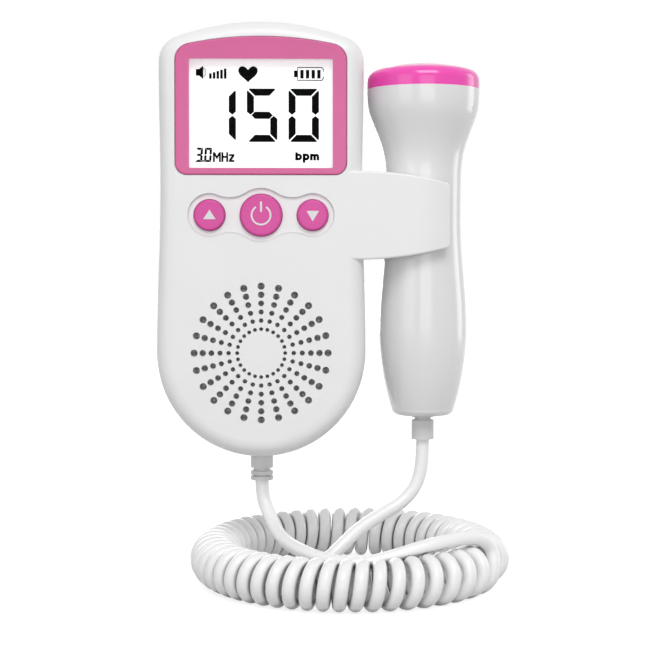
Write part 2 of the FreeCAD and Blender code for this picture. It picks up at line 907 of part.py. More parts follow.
def speaker_magnet():
    front = cloth_front() + cloth_thickness + speaker_rim_thickness + cone_depth + basket_wall
    return rod_y(0, speaker_z, magnet_radius, front, front + magnet_thickness)


# ---- Batteries


def cell_bottom():
    return bay_top - contact_thickness - cell_nub_length - cell_length


def battery(side):
    """An AA cell: the left one stands on its flat end and the right one on its nub, in series."""
    x = side * cell_x
    low = cell_bottom()
    can_z = low + cell_nub_length if side > 0 else low
    can = Part.makeCylinder(cell_radius, cell_length, Vector(x, cell_y, can_z))
    nub_z = low if side > 0 else low + cell_length
    return can.fuse(Part.makeCylinder(cell_nub_radius, cell_nub_length, Vector(x, cell_y, nub_z)))


def battery_contacts():
    """The flat plates at both ends of the bay."""
    plates = []
    for x in (-cell_x, cell_x):
        for low in (bay_top - contact_thickness, bay_bottom):
            plates.append(
                block(
                    (x - contact_half_width, cell_y - contact_half_width, low),
                    (x + contact_half_width, cell_y + contact_half_width, low + contact_thickness),
                )
            )
    return Part.makeCompound(plates)


def battery_springs():
    """The coil springs at the foot of the bay, each as the cone that it fills."""
    springs = []
    for x in (-cell_x, cell_x):
        low = bay_bottom + contact_thickness
        height = cell_bottom() - low
        springs.append(Part.makeCone(spring_base_radius, spring_tip_radius, height, Vector(x, cell_y, low)))
    return Part.makeCompound(springs)


# ---- Earphone socket


def socket_y():
    return board_front() + board_thickness + socket_body_height / 2


def earphone_socket():
    """A socket on the board's rear, with a round barrel that shows in the left side."""
    half = socket_body_height / 2
    body = block(
        (socket_body_x, socket_y() - half, socket_z - half),
        (socket_body_end, socket_y() + half, socket_z + half),
    )
    barrel = rod_x(socket_y(), socket_z, socket_barrel_radius, socket_mouth_x, socket_body_x)
    bore_end = socket_mouth_x + socket_bore_length
    bore = rod_x(socket_y(), socket_z, socket_bore_radius, socket_mouth_x, bore_end)
    return body.fuse(barrel).cut(bore)


# ---- Probe


def probe_outside(inset):
    """The side of the probe's handle: heel, grip, neck and flared head, as one smooth curve."""
    points = (
        (probe_heel_radius, probe_heel_z),
        (grip_radius, grip_z),
        (neck_radius, neck_bottom_z),
        (neck_radius, neck_top_z),
        (flare_radius, flare_z),
        (shoulder_radius, shoulder_z),
        (head_radius, head_rim_z),
    )
    side = Part.BSplineCurve()
    side.interpolate(
        Points=[Vector(radius - inset, 0, z) for radius, z in points],
        InitialTangent=Vector(probe_heel_lean, 0, 1),
        FinalTangent=Vector(0, 0, 1),
    )
    return side.toShape()


def probe_form(inset):
    """The whole handle, or its inside when it is moved in by the wall."""
    bottom = probe_bottom + inset
    heel = Vector(probe_heel_radius - inset, 0, probe_heel_z)
    foot = Vector(probe_bottom_radius - inset, 0, bottom)
    heel_bend = (heel + foot) * 0.5 + Vector(probe_heel_bulge, 0, -probe_heel_bulge)
    rim = Vector(head_radius - inset, 0, head_rim_z)
    profile = [
        line(Vector(0, 0, bottom), foot),
        arc(foot, heel_bend, heel),
        probe_outside(inset),
        line(rim, Vector(0, 0, head_rim_z)),
        line(Vector(0, 0, head_rim_z), Vector(0, 0, bottom)),
    ]
    return revolve_z(profile, probe_x, probe_y)


def probe_body():
    """The hollow handle, with ribs for its board, a ledge inside its rim and a spigot inside the face."""
    spigot_radius = head_radius - face_wall - fit_gap
    bore_radius = spigot_radius - probe_wall / 2
    ledge_base = head_rim_z - spigot_height

    def disc(radius, low, high):
        return Part.makeCylinder(radius, high - low, Vector(probe_x, probe_y, low))

    ledge = disc(head_radius - probe_wall / 2, ledge_base, head_rim_z)
    spigot = disc(spigot_radius, head_rim_z, head_rim_z + spigot_height)
    body = probe_form(0).cut(probe_form(probe_wall)).fuse(ledge).fuse(spigot)
    within_wall = probe_form(probe_wall / 2)
    for low in probe_rib_places:
        body = body.fuse(disc(grip_radius, low, low + probe_rib_thickness).common(within_wall))
    body = body.cut(probe_circuit_board())
    body = body.cut(disc(bore_radius, ledge_base - BEYOND, head_rim_z + spigot_height + BEYOND))
    return body.cut(relief_opening(probe_bottom, probe_x))


def probe_front_shell():
    return front_half(probe_body())


def probe_rear_shell():
    return rear_half(probe_body())


def probe_face():
    """The glossy cap over the crystals: a short skirt and a low dome."""
    dome_low = face_dome_radius - math.sqrt(face_dome_radius**2 - head_radius**2)
    edge = Vector(head_radius, 0, face_top_z - dome_low)
    crown = Vector(0, 0, face_top_z)
    half_radius = head_radius / 2
    half_drop = face_dome_radius - math.sqrt(face_dome_radius**2 - half_radius**2)
    rim = Vector(head_radius, 0, head_rim_z)
    profile = [
        line(Vector(0, 0, head_rim_z), rim),
        line(rim, edge),
        arc(edge, Vector(half_radius, 0, face_top_z - half_drop), crown),
        line(crown, Vector(0, 0, head_rim_z)),
    ]
    face = revolve_z(profile, probe_x, probe_y)
    face = face.makeFillet(face_corner, edges_on_z(face, edge.z))
    hollow = Part.makeCylinder(
        head_radius - face_wall, face_hollow_top() - head_rim_z, Vector(probe_x, probe_y, head_rim_z)
    )
    return face.cut(hollow)


def face_hollow_top():
    return face_top_z - face_thickness - crystal_thickness


def crystal(side):
    """One of the two half discs, to transmit or to receive."""
    low = face_hollow_top() - crystal_thickness
    disc = Part.makeCylinder(crystal_radius, crystal_thickness, Vector(probe_x, probe_y, low))
    near = probe_x + side * crystal_gap / 2
    far = probe_x + side * (crystal_radius + BEYOND)
    return disc.common(
        block(
            (min(near, far), probe_y - crystal_radius, low),
            (max(near, far), probe_y + crystal_radius, low + crystal_thickness),
        )
    )


def crystal_backing():
    top = face_hollow_top() - crystal_thickness
    radius = head_radius - face_wall - fit_gap - probe_wall / 2 - fit_gap
    return Part.makeCylinder(radius, backing_thickness, Vector(probe_x, probe_y, top - backing_thickness))


def probe_circuit_board():
    half = board_thickness / 2
    return block(
        (probe_x - probe_board_half_width, probe_y - half, probe_board_bottom),
        (probe_x + probe_board_half_width, probe_y + half, probe_board_top),
    )


# ---- Strain reliefs


def strain_relief(x, housing_bottom, length, grooves):
    """A boot moulded on the cord: a flange inside the housing, a neck in its wall and a grooved collar."""
    low = housing_bottom - length
    neck_top = housing_bottom + wall + relief_flange_gap
    boot = Part.makeCylinder(relief_radius, length, Vector(x, split_y, low))
    neck_low = Vector(x, split_y, housing_bottom)
    neck = Part.makeCylinder(relief_neck_radius, neck_top - housing_bottom, neck_low)
    flange = Part.makeCylinder(relief_flange_radius, relief_flange_thickness, Vector(x, split_y, neck_top))
    boot = boot.fuse(neck).fuse(flange)
    for place, width in grooves:
        groove_low = Vector(x, split_y, housing_bottom - place - width / 2)
        groove = Part.makeCylinder(relief_radius + BEYOND, width, groove_low)
        core = Part.makeCylinder(relief_radius - relief_groove_depth, width, groove_low)
        boot = boot.cut(groove.cut(core))
    return boot


def unit_strain_relief():
    return strain_relief(0, end_z - end_radius, unit_relief_length, unit_relief_grooves)


def probe_strain_relief():
    return strain_relief(probe_x, probe_bottom, probe_relief_length, probe_relief_grooves)


# ---- Cord


def cord_tube(name, route):
    """A tube along straight runs joined by tangent arcs, each as large as its two runs allow."""
    points = [Vector(*place) for place in route]
    edges = []
    here = points[0]
    length = 0
    for before, corner, after in zip(points, points[1:], points[2:]):
        inward = (before - corner).normalize()
        outward = (after - corner).normalize()
        half_turn = (math.pi - inward.getAngle(outward)) / 2
        reach = arc_share * min(before.distanceToPoint(corner), after.distanceToPoint(corner))
        radius = reach / math.tan(half_turn)
        start = corner + inward * reach
        end = corner + outward * reach
        centre = corner + (inward + outward).normalize() * (radius / math.cos(half_turn))
        middle = centre + (corner - centre).normalize() * radius
        edges += [line(here, start), arc(start, middle, end)]
        length += here.distanceToPoint(start) + 2 * half_turn * radius
        here = end
        print(f"{name}: turn {math.degrees(2 * half_turn):.0f} degrees, radius {radius:.1f} mm")
    edges.append(line(here, points[-1]))
    length += here.distanceToPoint(points[-1])
    section = Part.Wire(Part.makeCircle(cord_diameter / 2, points[0], points[1] - points[0]))
    tube = Part.Wire(edges).makePipeShell([section], True, False)
    expected = math.pi * (cord_diameter / 2) ** 2 * length
    print(f"{name}: length {length:.1f} mm, volume {tube.Volume:.0f} against {expected:.0f} cubic mm")
    return tube


def unit_lead():
    return cord_tube("unit_lead", unit_lead_points)


def probe_lead():
    return cord_tube("probe_lead", probe_lead_points)


def curly_cord():
    """The curly cord as the fat tube that its turns fill, laid round in an open ring."""
    up = Vector(0, 0, 1)
    ring = Part.makeTorus(coil_ring_radius, coil_diameter / 2, Vector(0, 0, 0), up, -180, 180, coil_span)
    ring.rotate(Vector(0, 0, 0), up, coil_start_angle - coil_span)
    ring.translate(Vector(coil_ring_x, coil_ring_y, coil_ring_z))
    return ring


# ---- The whole object


def all_nodes():
    nodes = {
        "front_shell": front_shell(),
        "rear_shell": rear_shell(),
        "battery_cover": battery_cover(),
        "rear_screws": rear_screws(),
        "display_bezel": display_bezel(),
        "display_window": display_window(),
        "lcd_panel": lcd_panel(),
        "lcd_backlight": lcd_backlight(),
        "lcd_connector_strip": lcd_connector_strip(),
        "main_circuit_board": main_circuit_board(),
        "speaker_cloth": speaker_cloth(),
        "speaker_frame": speaker_frame(),
        "speaker_cone": speaker_cone(),
        "speaker_magnet": speaker_magnet(),
        "left_battery": battery(-1),
        "right_battery": battery(1),
        "battery_contacts": battery_contacts(),
        "battery_springs": battery_springs(),
        "earphone_socket": earphone_socket(),
        "unit_strain_relief": unit_strain_relief(),
        "probe_front_shell": probe_front_shell(),
        "probe_rear_shell": probe_rear_shell(),
        "probe_face": probe_face(),
        "transmit_crystal": crystal(-1),
        "receive_crystal": crystal(1),
        "crystal_backing": crystal_backing(),
        "probe_circuit_board": probe_circuit_board(),
        "probe_strain_relief": probe_strain_relief(),
        "unit_lead": unit_lead(),
        "curly_cord": curly_cord(),
        "probe_lead": probe_lead(),
    }
    for name, x, radius in button_places():
        nodes[f"{name}_button"] = button(x, radius)
        nodes[f"{name}_switch"] = switch_base(x)
        nodes[f"{name}_plunger"] = switch_plunger(x)
    return nodes


os.makedirs("parts", exist_ok=True)
for node, shape in all_nodes().items():
    if not shape.isValid():
        print(f"{node}: the solid is not valid")
    shape.exportStep(f"parts/{node}.step")
    print(f"{node}: {len(shape.Solids)} solid, {shape.Volume:.0f} cubic mm")
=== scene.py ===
import bpy
import bmesh
import math
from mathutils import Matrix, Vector


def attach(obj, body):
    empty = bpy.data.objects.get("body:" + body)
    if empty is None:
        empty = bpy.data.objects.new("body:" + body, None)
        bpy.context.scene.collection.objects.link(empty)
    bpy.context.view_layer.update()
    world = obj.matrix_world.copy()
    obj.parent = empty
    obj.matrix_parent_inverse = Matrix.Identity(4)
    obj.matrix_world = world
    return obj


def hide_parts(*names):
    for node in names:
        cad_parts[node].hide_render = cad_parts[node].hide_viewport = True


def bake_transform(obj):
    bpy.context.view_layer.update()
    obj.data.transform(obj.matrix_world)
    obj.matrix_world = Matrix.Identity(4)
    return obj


# A pocket fetal doppler monitor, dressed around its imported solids.
# +X points to the probe, +Y out of the back and +Z up. Places and sizes are in millimetres, but the lamps,
# the floor's size and what materials measure are in metres.

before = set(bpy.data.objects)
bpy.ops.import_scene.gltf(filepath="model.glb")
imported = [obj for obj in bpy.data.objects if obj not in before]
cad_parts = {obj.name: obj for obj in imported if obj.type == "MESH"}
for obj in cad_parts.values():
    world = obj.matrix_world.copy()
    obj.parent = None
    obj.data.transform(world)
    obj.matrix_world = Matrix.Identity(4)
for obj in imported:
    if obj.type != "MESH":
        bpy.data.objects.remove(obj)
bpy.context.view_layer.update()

MM = 0.001

# ---- Camera
camera_place = (6.52, -486.34, -5.90)
camera_yaw = 1.506  # degrees, towards the probe
camera_pitch = 1.206  # degrees, down
camera_lens = 84.153
camera_sensor = 36.0
camera_shift_y = -0.05  # the object's uprights stay nearly parallel
camera_nearest = 0.01  # metres
camera_farthest = 20.0

# ---- Cord
cord_diameter = 4.15

unit_lead_points = (
    (0.0, -17.6, -74.6),
    (0.0, -17.6, -79.8),
    (2.2, -20.6, -84.8),
    (4.2, -25.4, -88.9),
    (7.4, -33.4, -91.5),
    (12.6, -42.6, -92.6),
    (19.6, -50.0, -93.9),
    (28.4, -51.6, -94.7),
    (36.8, -50.6, -93.1),
    (46.4, -49.8, -90.2),
    (54.0, -46.9, -88.9),
    (60.4, -42.4, -88.7),
    (66.0, -38.6, -89.4),
    (69.6, -36.2, -93.2),
)
probe_lead_points = (
    (50.1, -17.6, -62.1),
    (50.1, -17.6, -69.2),
    (48.4, -17.9, -76.4),
    (43.8, -19.4, -81.6),
    (36.8, -22.4, -85.0),
    (29.6, -26.2, -88.8),
    (23.6, -30.6, -93.8),
    (17.0, -34.2, -99.2),
    (8.4, -35.0, -103.2),
    (-0.6, -31.6, -104.6),
    (-5.4, -22.6, -104.6),
    (-3.4, -12.0, -104.6),
    (4.6, -4.2, -104.6),
    (15.4, -0.8, -104.6),
    (27.4, -1.4, -104.6),
    (39.2, -4.6, -104.6),
    (50.0, -9.4, -104.6),
    (57.2, -14.6, -104.6),
    (59.4, -20.4, -104.6),
    (62.4, -22.5, -104.6),
    (66.7, -22.5, -104.4),
)
coil_centre = (27.3, -17.0, -99.1)
coil_ring_radius = 41.8
coil_wire_radius = 5.53
coil_back_growth = 0.45  # how much wider the turns are at the back, which also lifts them
coil_start_angle = -27.0  # degrees about +Z, from +X
coil_end_angle = -368.2
coil_start_roll = 10.0  # degrees round the ring's tube, from the outside up
# Places on the ring, and how many degrees of it one turn takes up there: its pulled start is the widest
turn_angles = ((coil_start_angle, 9.2), (-95.0, 6.1), (-180.0, 6.9))
points_per_turn = 12
control_excess = 1.03  # a quadratic spline passes inside its control points


def metres(place):
    """A place in millimetres, as a vector in metres."""
    return Vector(place) * MM


def make_camera():
    data = bpy.data.cameras.new("camera")
    data.lens = camera_lens
    data.sensor_width = camera_sensor
    data.shift_y = camera_shift_y
    data.clip_start = camera_nearest
    data.clip_end = camera_farthest
    camera = bpy.data.objects.new("camera", data)
    camera.location = metres(camera_place)
    camera.rotation_euler = (math.radians(90.0 - camera_pitch), 0.0, -math.radians(camera_yaw))
    bpy.context.scene.collection.objects.link(camera)
    bpy.context.scene.camera = camera


def route_curve(name, points, thickness):
    """A curve whose NURBS spline has the route's points as its control points."""
    data = bpy.data.curves.new(name, "CURVE")
    data.dimensions = "3D"
    spline = data.splines.new("NURBS")
    spline.points.add(len(points) - 1)
    for place, knot in zip(points, spline.points):
        knot.co = (*metres(place), 1.0)
    spline.order_u = 3
    spline.use_endpoint_u = True
    spline.resolution_u = 6
    data.bevel_depth = thickness / 2 * MM
    data.bevel_resolution = 5
    data.use_fill_caps = True
    curve = bpy.data.objects.new(name, data)
    bpy.context.scene.collection.objects.link(curve)
    return curve


def turn_angle_at(angle):
    """How many degrees of the ring one turn takes up at an angle, evenly between the places in the table."""
    for (start, start_width), (end, end_width) in zip(turn_angles, turn_angles[1:]):
        if angle >= end:
            return start_width + (end_width - start_width) * (start - angle) / (start - end)
    return turn_angles[-1][1]


def coil_points():
    """The curly cord's turns, clockwise round the ring seen from above."""
    centre_x, centre_y, centre_z = coil_centre
    points = []
    angle = coil_start_angle
    roll = coil_start_roll
    while angle > coil_end_angle:
        around = math.radians(angle)
        over = math.radians(roll)
        growth = coil_back_growth * (1 + math.sin(around)) / 2
        wire_radius = (coil_wire_radius + growth) * control_excess
        reach = coil_ring_radius + wire_radius * math.cos(over)
        points.append(
            (
                centre_x + reach * math.cos(around),
                centre_y + reach * math.sin(around),
                centre_z + growth + wire_radius * math.sin(over),
            )
        )
        angle -= turn_angle_at(angle) / points_per_turn
        roll -= 360.0 / points_per_turn
    return points


def cord_tube(name, points):
    """A mesh tube and the points it follows, both read from the route's own NURBS spline."""
    route = route_curve(f"{name}_route", points, 0.0)
    line = bpy.data.meshes.new_from_object(route)
    path = [vertex.co.copy() for vertex in line.vertices]
    route.data.bevel_depth = cord_diameter / 2 * MM
    tube = bpy.data.meshes.new_from_object(route)
    tube.name = name
    for face in tube.polygons:
        face.use_smooth = True
    cord = bpy.data.objects.new(name, tube)
    bpy.context.scene.collection.objects.link(cord)
    bpy.data.objects.remove(route)
    bpy.data.meshes.remove(line)
    return cord, path


def make_unit_cord():
    cord, path = cord_tube("unit_cord", list(unit_lead_points) + coil_points())
    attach(cord, "handset")
    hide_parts("unit_lead", "curly_cord")
    return cord


def make_probe_cord():
    cord, path = cord_tube("probe_cord", probe_lead_points)
    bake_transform(cord)
    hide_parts("probe_lead")
    return cord


make_camera()
unit_cord = make_unit_cord()
probe_cord = make_probe_cord()


# ---- Materials. Noise scales are features per metre.

MICRON = 0.000001
cloud_scale = 60.0
grain_strength = 0.35


def new_material(name):
    """A new material with its nodes and links."""
    material = bpy.data.materials.new(name)
    material.use_nodes = True
    return material, material.node_tree.nodes, material.node_tree.links


def object_noise(nodes, links, scale, detail=3.0):
    """Noise fixed to the piece, with the given number of features per metre."""
    place = nodes.new("ShaderNodeTexCoord")
    noise = nodes.new("ShaderNodeTexNoise")
    noise.inputs["Scale"].default_value = scale
    noise.inputs["Detail"].default_value = detail
    links.new(place.outputs["Object"], noise.inputs["Vector"])
    return noise


def blend_colours(nodes, links, factor, dark, light, low=0.35, high=0.65):
    """The dark colour where the factor is low, blended into the light one where it is high."""
    ramp = nodes.new("ShaderNodeValToRGB")
    ramp.color_ramp.elements[0].position = low
    ramp.color_ramp.elements[1].position = high
    ramp.color_ramp.elements[0].color = (*dark, 1.0)
    ramp.color_ramp.elements[1].color = (*light, 1.0)
    links.new(factor, ramp.inputs["Fac"])
    return ramp.outputs["Color"]


def spread(nodes, links, factor, low, high):
    """A factor from 0 to 1, spread over the values from low to high."""
    scale = nodes.new("ShaderNodeMapRange")
    scale.inputs["To Min"].default_value = low
    scale.inputs["To Max"].default_value = high
    links.new(factor, scale.inputs["Value"])
    return scale.outputs["Result"]


def step_up(nodes, links, factor, low, high):
    """0 up to the low factor, 1 from the high one on, and even between."""
    scale = nodes.new("ShaderNodeMapRange")
    scale.inputs["From Min"].default_value = low
    scale.inputs["From Max"].default_value = high
    links.new(factor, scale.inputs["Value"])
    return scale.outputs["Result"]


def add_bump(nodes, links, shader, height, strength, distance):
    """Fine relief in a shader's surface, up to a distance in metres."""
    bump = nodes.new("ShaderNodeBump")
    bump.inputs["Strength"].default_value = strength
    bump.inputs["Distance"].default_value = distance
    links.new(height, bump.inputs["Height"])
    links.new(bump.outputs["Normal"], shader.inputs["Normal"])


def shade(colour, factor):
    """A colour made darker or lighter."""
    return tuple(min(1.0, part * factor) for part in colour)


def moulded(
    name,
    colour,
    roughness,
    variation=0.03,
    grain=2600.0,
    grain_depth=10 * MICRON,
    coat=0.0,
    subsurface=0.0,
):
    """Moulded plastic or rubber: faint clouding, a fine spark-eroded grain and a slightly uneven gloss."""
    material, nodes, links = new_material(name)
    shader = nodes["Principled BSDF"]
    cloud = object_noise(nodes, links, cloud_scale)
    dark, light = shade(colour, 1 - variation), shade(colour, 1 + variation)
    links.new(blend_colours(nodes, links, cloud.outputs["Fac"], dark, light), shader.inputs["Base Color"])
    fine = object_noise(nodes, links, grain, 2.0)
    gloss = spread(nodes, links, fine.outputs["Fac"], roughness * 0.85, roughness * 1.15)
    links.new(gloss, shader.inputs["Roughness"])
    add_bump(nodes, links, shader, fine.outputs["Fac"], grain_strength, grain_depth)
    shader.inputs["Coat Weight"].default_value = coat
    shader.inputs["Coat Roughness"].default_value = 0.08
    if subsurface:
        shader.inputs["Subsurface Weight"].default_value = subsurface
        shader.inputs["Subsurface Radius"].default_value = (1.0, 0.8, 0.7)
        shader.inputs["Subsurface Scale"].default_value = MM
    return material


def vinyl(name, painted_gap_shade, colour, painted_shade_reach):
    """The cord's glossy jacket, with painted shade: darker where turns lie within a gap's reach of each
    other.
    """
    material, nodes, links = new_material(name)
    shader = nodes["Principled BSDF"]
    cloud = object_noise(nodes, links, cloud_scale)
    unshaded_colour = blend_colours(nodes, links, cloud.outputs["Fac"], shade(colour, 0.985), colour)
    # Painted shade: an ambient occlusion node turns the base colour towards near black in the gaps between
    # the coil's turns, where shade falls.
    openness = nodes.new("ShaderNodeAmbientOcclusion")
    openness.samples = 8
    openness.inputs["Distance"].default_value = painted_shade_reach
    mix = nodes.new("ShaderNodeMix")
    mix.data_type = "RGBA"
    mix.inputs["A"].default_value = (*painted_gap_shade, 1.0)
    links.new(step_up(nodes, links, openness.outputs["AO"], 0.10, 0.60), mix.inputs["Factor"])
    links.new(unshaded_colour, mix.inputs["B"])
    links.new(mix.outputs["Result"], shader.inputs["Base Color"])
    fine = object_noise(nodes, links, 1800.0, 2.0)
    links.new(spread(nodes, links, fine.outputs["Fac"], 0.26, 0.36), shader.inputs["Roughness"])
    add_bump(nodes, links, shader, fine.outputs["Fac"], grain_strength, 10 * MICRON)
    shader.inputs["Coat Weight"].default_value = 0.3
    shader.inputs["Coat Roughness"].default_value = 0.15
    return material


def printed(name, colour, variation=0.1):
    """Ink or paint without gloss, slightly uneven."""
    material, nodes, links = new_material(name)
    shader = nodes["Principled BSDF"]
    cloud = object_noise(nodes, links, 900.0)
    dark, light = shade(colour, 1 - variation), shade(colour, 1 + variation)
    links.new(blend_colours(nodes, links, cloud.outputs["Fac"], dark, light), shader.inputs["Base Color"])
    shader.inputs["Roughness"].default_value = 0.9
    shader.inputs["Specular IOR Level"].default_value = 0.05
    return material


def metal(name, colour, roughness):
    """Bare metal, unevenly bright and lightly scratched."""
    scratch_scale = 900.0
    material, nodes, links = new_material(name)
    shader = nodes["Principled BSDF"]
    shader.inputs["Metallic"].default_value = 1.0
    streaks = object_noise(nodes, links, scratch_scale, 4.0)
    dark, light = shade(colour, 0.88), shade(colour, 1.05)
    links.new(blend_colours(nodes, links, streaks.outputs["Fac"], dark, light), shader.inputs["Base Color"])
    gloss = spread(nodes, links, streaks.outputs["Fac"], roughness * 0.7, roughness * 1.4)
    links.new(gloss, shader.inputs["Roughness"])
    add_bump(nodes, links, shader, streaks.outputs["Fac"], 0.2, 10 * MICRON)
    return material


def woven(name, dark, light, threads_per_metre):
    """Plain woven cloth: warp and weft as two crossed waves."""
    waves_per_scale = 20.0
    material, nodes, links = new_material(name)
    shader = nodes["Principled BSDF"]
    place = nodes.new("ShaderNodeTexCoord")
    waves = []
    for axis in ("X", "Z"):
        wave = nodes.new("ShaderNodeTexWave")
        wave.wave_type = "BANDS"
        wave.bands_direction = axis
        wave.inputs["Scale"].default_value = threads_per_metre / waves_per_scale
        wave.inputs["Distortion"].default_value = 0.6
        links.new(place.outputs["Object"], wave.inputs["Vector"])
        waves.append(wave.outputs["Fac"])
    both = nodes.new("ShaderNodeMath")
    both.operation = "MULTIPLY"
    links.new(waves[0], both.inputs[0])
    links.new(waves[1], both.inputs[1])
    colours = blend_colours(nodes, links, both.outputs[0], dark, light, 0.0, 1.0)
    links.new(colours, shader.inputs["Base Color"])
    shader.inputs["Roughness"].default_value = 0.95
    add_bump(nodes, links, shader, both.outputs[0], 0.8, 60 * MICRON)
    return material


def clear_pane(name):
    """A clear acrylic pane: see-through, with a reflection that grows towards a grazing view."""
    material, nodes, links = new_material(name)
    output = nodes["Material Output"]
    nodes.remove(nodes["Principled BSDF"])
    through = nodes.new("ShaderNodeBsdfTransparent")
    through.inputs["Color"].default_value = (0.98, 0.985, 0.985, 1.0)
    gloss = nodes.new("ShaderNodeBsdfGlossy")
    smudge = object_noise(nodes, links, 140.0)
    links.new(spread(nodes, links, smudge.outputs["Fac"], 0.02, 0.08), gloss.inputs["Roughness"])
    edge = nodes.new("ShaderNodeLayerWeight")
    edge.inputs["Blend"].default_value = 0.5
    steep = nodes.new("ShaderNodeMath")
    steep.operation = "POWER"
    steep.inputs[1].default_value = 5.0
    links.new(edge.outputs["Facing"], steep.inputs[0])
    mix = nodes.new("ShaderNodeMixShader")
    links.new(spread(nodes, links, steep.outputs[0], 0.0, 0.6), mix.inputs["Fac"])
    links.new(through.outputs["BSDF"], mix.inputs[1])
    links.new(gloss.outputs["BSDF"], mix.inputs[2])
    links.new(mix.outputs["Shader"], output.inputs["Surface"])
    return material


def lit_glass(name, colour, glow):
    """The display's glass, evenly lit from behind."""
    material, nodes, links = new_material(name)
    shader = nodes["Principled BSDF"]
    cloud = object_noise(nodes, links, 45.0)
    tint = blend_colours(nodes, links, cloud.outputs["Fac"], shade(colour, 0.985), colour)
    links.new(tint, shader.inputs["Base Color"])
    links.new(tint, shader.inputs["Emission Color"])
    shader.inputs["Emission Strength"].default_value = glow
    shader.inputs["Roughness"].default_value = 0.25
    return material


def solder_mask(name):
    """A circuit board: green mask with paler copper tracks under it."""
    material, nodes, links = new_material(name)
    shader = nodes["Principled BSDF"]
    place = nodes.new("ShaderNodeTexCoord")
    tracks = nodes.new("ShaderNodeTexBrick")
    tracks.inputs["Scale"].default_value = 240.0
    tracks.inputs["Mortar Size"].default_value = 0.05
    tracks.inputs["Color1"].default_value = (0.010, 0.115, 0.045, 1.0)
    tracks.inputs["Color2"].default_value = (0.014, 0.150, 0.058, 1.0)
    tracks.inputs["Mortar"].default_value = (0.030, 0.250, 0.100, 1.0)
    turn = nodes.new("ShaderNodeMapping")
    turn.inputs["Rotation"].default_value = (math.radians(90.0), 0.0, 0.0)
    links.new(place.outputs["Object"], turn.inputs["Vector"])
    links.new(turn.outputs["Vector"], tracks.inputs["Vector"])
    links.new(tracks.outputs["Color"], shader.inputs["Base Color"])
    shader.inputs["Roughness"].default_value = 0.35
    add_bump(nodes, links, shader, tracks.outputs["Fac"], 0.4, 30 * MICRON)
    return material


def cell_film(name, flat_end, nub_end):
    """A battery: dark shrink film, then a silver band and the bare nub. The ends are heights in mm."""
    band_start, nub_start = 0.77, 0.973  # shares of the battery's length
    material, nodes, links = new_material(name)
    shader = nodes["Principled BSDF"]
    place = nodes.new("ShaderNodeTexCoord")
    height = nodes.new("ShaderNodeSeparateXYZ")
    links.new(place.outputs["Object"], height.inputs["Vector"])
    along = nodes.new("ShaderNodeMapRange")
    along.inputs["From Min"].default_value = flat_end * MM
    along.inputs["From Max"].default_value = nub_end * MM
    links.new(height.outputs["Z"], along.inputs["Value"])
    bands = nodes.new("ShaderNodeValToRGB")
    bands.color_ramp.interpolation = "CONSTANT"
    film, band = bands.color_ramp.elements
    film.color = (0.034, 0.036, 0.045, 1.0)
    band.position = band_start
    band.color = (0.55, 0.56, 0.58, 1.0)
    nub = bands.color_ramp.elements.new(nub_start)
    nub.color = (0.72, 0.71, 0.69, 1.0)
    links.new(along.outputs["Result"], bands.inputs["Fac"])
    links.new(bands.outputs["Color"], shader.inputs["Base Color"])
    cloud = object_noise(nodes, links, 200.0)
    shader.inputs["Metallic"].default_value = 0.7
    links.new(spread(nodes, links, cloud.outputs["Fac"], 0.22, 0.34), shader.inputs["Roughness"])
    add_bump(nodes, links, shader, cloud.outputs["Fac"], 0.2, 20 * MICRON)
    return material


white = (0.86, 0.86, 0.865)
probe_white = (0.79, 0.79, 0.795)
pink = (0.64, 0.068, 0.275)
button_pink = (0.68, 0.052, 0.335)
face_pink = (0.90, 0.055, 0.45)
polished = 3 * MICRON  # the grain's depth
white_plastic = moulded("white_plastic", white, 0.34, variation=0.008, grain_depth=6 * MICRON)
pink_plastic = moulded("pink_plastic", pink, 0.22, variation=0.02, grain_depth=polished, coat=0.3)
button_plastic = moulded("button_plastic", button_pink, 0.30, variation=0.02, grain_depth=4 * MICRON)
face_plastic = moulded("face_plastic", face_pink, 0.20, variation=0.03, grain_depth=polished, coat=0.3)
probe_plastic = moulded("probe_plastic", probe_white, 0.20, variation=0.008, grain_depth=polished, coat=0.4)
black_plastic = moulded("black_plastic", (0.02, 0.02, 0.022), 0.45)
relief_rubber = moulded("relief_rubber", (0.72, 0.72, 0.72), 0.5, variation=0.02, subsurface=0.1)
# The cord's colour has painted shade: near black in the gaps between its turns, within 3 mm of each other.
cord_vinyl = vinyl("cord_vinyl", (0.06, 0.06, 0.06), (0.95, 0.95, 0.95), 3 * MM)
conductive_rubber = moulded("conductive_rubber", (0.10, 0.10, 0.11), 0.7)
milky_plastic = moulded("milky_plastic", (0.85, 0.86, 0.84), 0.5)
speaker_paper = moulded("speaker_paper", (0.03, 0.03, 0.03), 0.9, grain=5000.0, grain_depth=40 * MICRON)
cast_resin = moulded("cast_resin", (0.05, 0.05, 0.06), 0.5)
nickel = metal("nickel", (0.72, 0.71, 0.69), 0.22)
zinc = metal("zinc", (0.66, 0.67, 0.69), 0.35)
pressed_steel = metal("pressed_steel", (0.55, 0.56, 0.58), 0.38)
silvered = metal("silvered", (0.82, 0.82, 0.80), 0.25)
dust_cloth = woven("dust_cloth", (0.20, 0.20, 0.203), (0.42, 0.42, 0.425), 4200.0)
clear_acrylic = clear_pane("clear_acrylic")
display_glass = lit_glass("display_glass", (0.92, 0.925, 0.925), 0.42)
circuit_green = solder_mask("circuit_green")
cell_low = -53.5
cell_high = -3.0
left_battery_film = cell_film("left_battery_film", cell_low, cell_high)
right_battery_film = cell_film("right_battery_film", cell_high, cell_low)
display_ink = printed("display_ink", (0.004, 0.004, 0.004))
white_ink = printed("white_ink", (0.80, 0.81, 0.83), variation=0.03)

